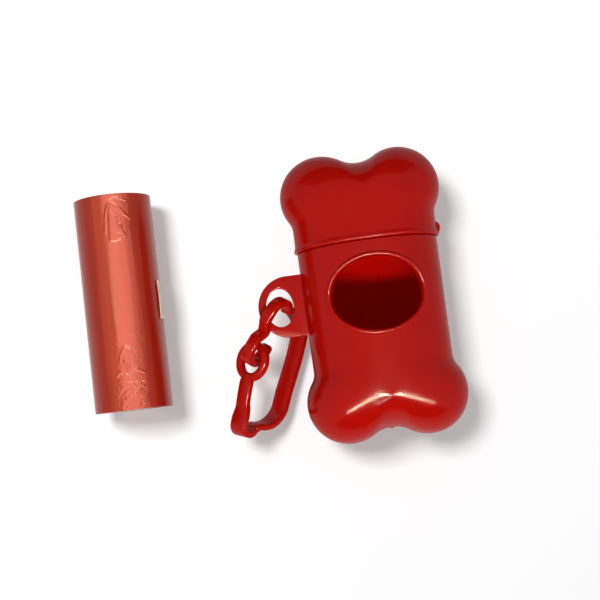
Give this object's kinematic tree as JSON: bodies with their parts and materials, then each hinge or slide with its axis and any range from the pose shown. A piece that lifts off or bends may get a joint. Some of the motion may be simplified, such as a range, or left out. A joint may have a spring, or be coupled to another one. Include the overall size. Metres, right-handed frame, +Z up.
{
  "type": "dog poop bag dispenser",
  "caption": "Bone-shaped plastic case with a pull-off cap, oval dispensing window, side lug, link and spring hook, with a roll of bags lying beside it.",
  "frame": {"origin": "middle of the case's flattened back, straight under the crossing of the bone's two symmetry planes, at the height of the table", "axes": "+Z up from the table and out of the dispensing window, +Y along the case towards its cap, +X across the case, away from the lug"},
  "size_m": [0.1141, 0.0884, 0.0351],
  "materials": {
    "case_plastic": "glossy red polypropylene",
    "cap_plastic": "glossy red polypropylene",
    "hook_plastic": "satin red polypropylene",
    "core_card": "plain grey-brown card",
    "bag_film": "thin translucent red polythene film",
    "label_paper": "plain cream sticker"
  },
  "bodies": {
    "case": {"case_body": "case_plastic"},
    "cap": {"cap": "cap_plastic"},
    "link": {"connector_link": "hook_plastic"},
    "hook": {"hook_frame": "hook_plastic"},
    "gate": {"hook_gate": "hook_plastic"},
    "roll": {"roll_core": "core_card", "bag_roll": "bag_film", "loose_bag_end": "bag_film", "roll_label": "label_paper"}
  },
  "joints": [
    {"name": "cap_pull", "type": "slide", "parent": "case", "child": "cap", "axis": [0, 1, 0], "range_m": [0, 0.045]},
    {"name": "link_swing", "type": "hinge", "parent": "case", "child": "link", "pos_m": [-0.03334, -0.00425, 0.01705], "axis": [0.5446, -0.8387, 0], "range_deg": [-40, 0]},
    {"name": "hook_swing", "type": "hinge", "parent": "link", "child": "hook", "pos_m": [-0.03764, -0.0107, 0.0167], "axis": [0.7027, -0.2488, 0.6665], "range_deg": [-20, 0]},
    {"name": "gate_flex", "type": "hinge", "parent": "hook", "child": "gate", "pos_m": [-0.0424, -0.03551, 0.01245], "axis": [0.7027, -0.2488, 0.6665], "range_deg": [-12, 0], "stiffness_Nm_per_rad": 0.05},
    {"name": "roll_spin", "type": "hinge", "parent": "case", "child": "roll", "pos_m": [-0.0769, 0.0075, 0.0121], "axis": [0.014, 0.9999, 0], "continuous": true}
  ]
}
